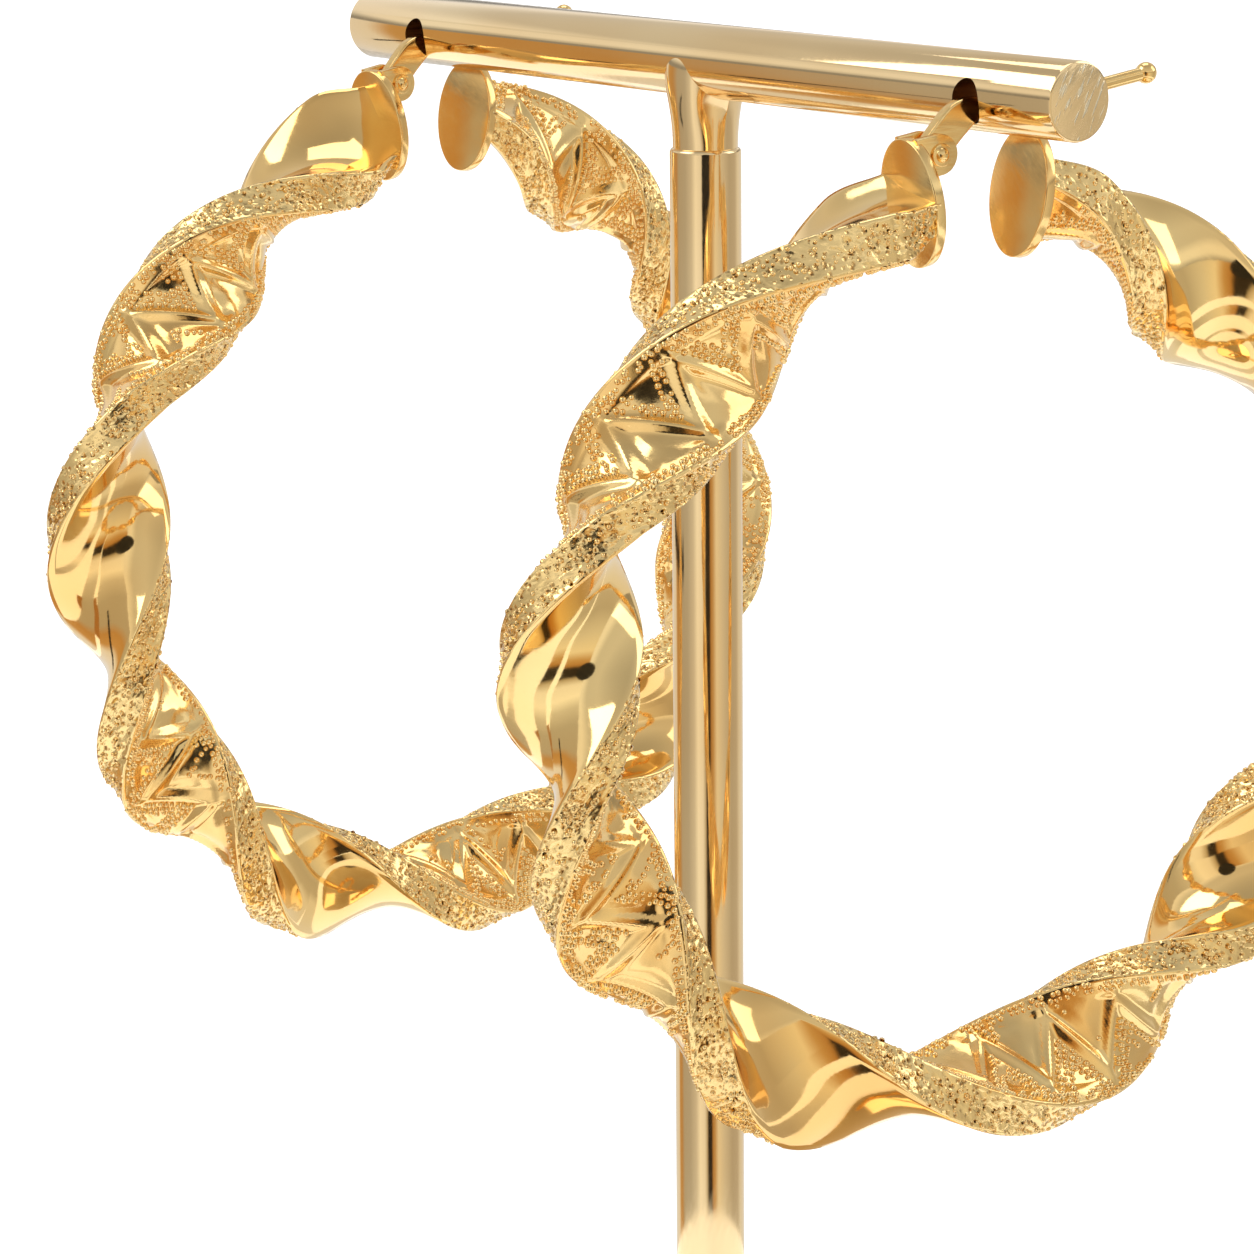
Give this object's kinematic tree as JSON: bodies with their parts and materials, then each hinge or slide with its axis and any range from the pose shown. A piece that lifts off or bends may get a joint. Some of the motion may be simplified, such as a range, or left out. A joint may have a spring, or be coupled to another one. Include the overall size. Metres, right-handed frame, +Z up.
{
  "type": "pair of twisted hoop earrings on a T-bar stand",
  "caption": "Pair of twisted hollow hoop earrings with hinged ear wires, hung on a drilled T-bar jewellery stand with a round foot.",
  "frame": {"origin": "centre of the foot's underside", "axes": "+Z up along the post, Y along the cross bar, X across it in the plane of each hoop"},
  "size_m": [0.0619, 0.0695, 0.1023],
  "materials": {
    "hoop_gold": "polished gold with stippled edges and a raised key",
    "stand_gold": "polished pale gold plate"
  },
  "bodies": {
    "stand": {"stand_tee": "stand_gold", "stand_foot": "stand_gold", "ear_wire_front": "hoop_gold", "ear_wire_back": "hoop_gold", "hinge_rivet_front": "hoop_gold", "hinge_rivet_back": "hoop_gold"},
    "front_hoop": {"hoop_front": "hoop_gold"},
    "back_hoop": {"hoop_back": "hoop_gold"}
  },
  "joints": [
    {"name": "front_hoop_hinge", "type": "hinge", "parent": "stand", "child": "front_hoop", "pos_m": [-0.00443, -0.02593, 0.0969], "axis": [0.1045, 0.9945, 0], "range_deg": [-4, 50]},
    {"name": "back_hoop_hinge", "type": "hinge", "parent": "stand", "child": "back_hoop", "pos_m": [-0.00444, 0.02795, 0.0969], "axis": [-0.0785, 0.9969, 0], "range_deg": [-4, 50]}
  ]
}
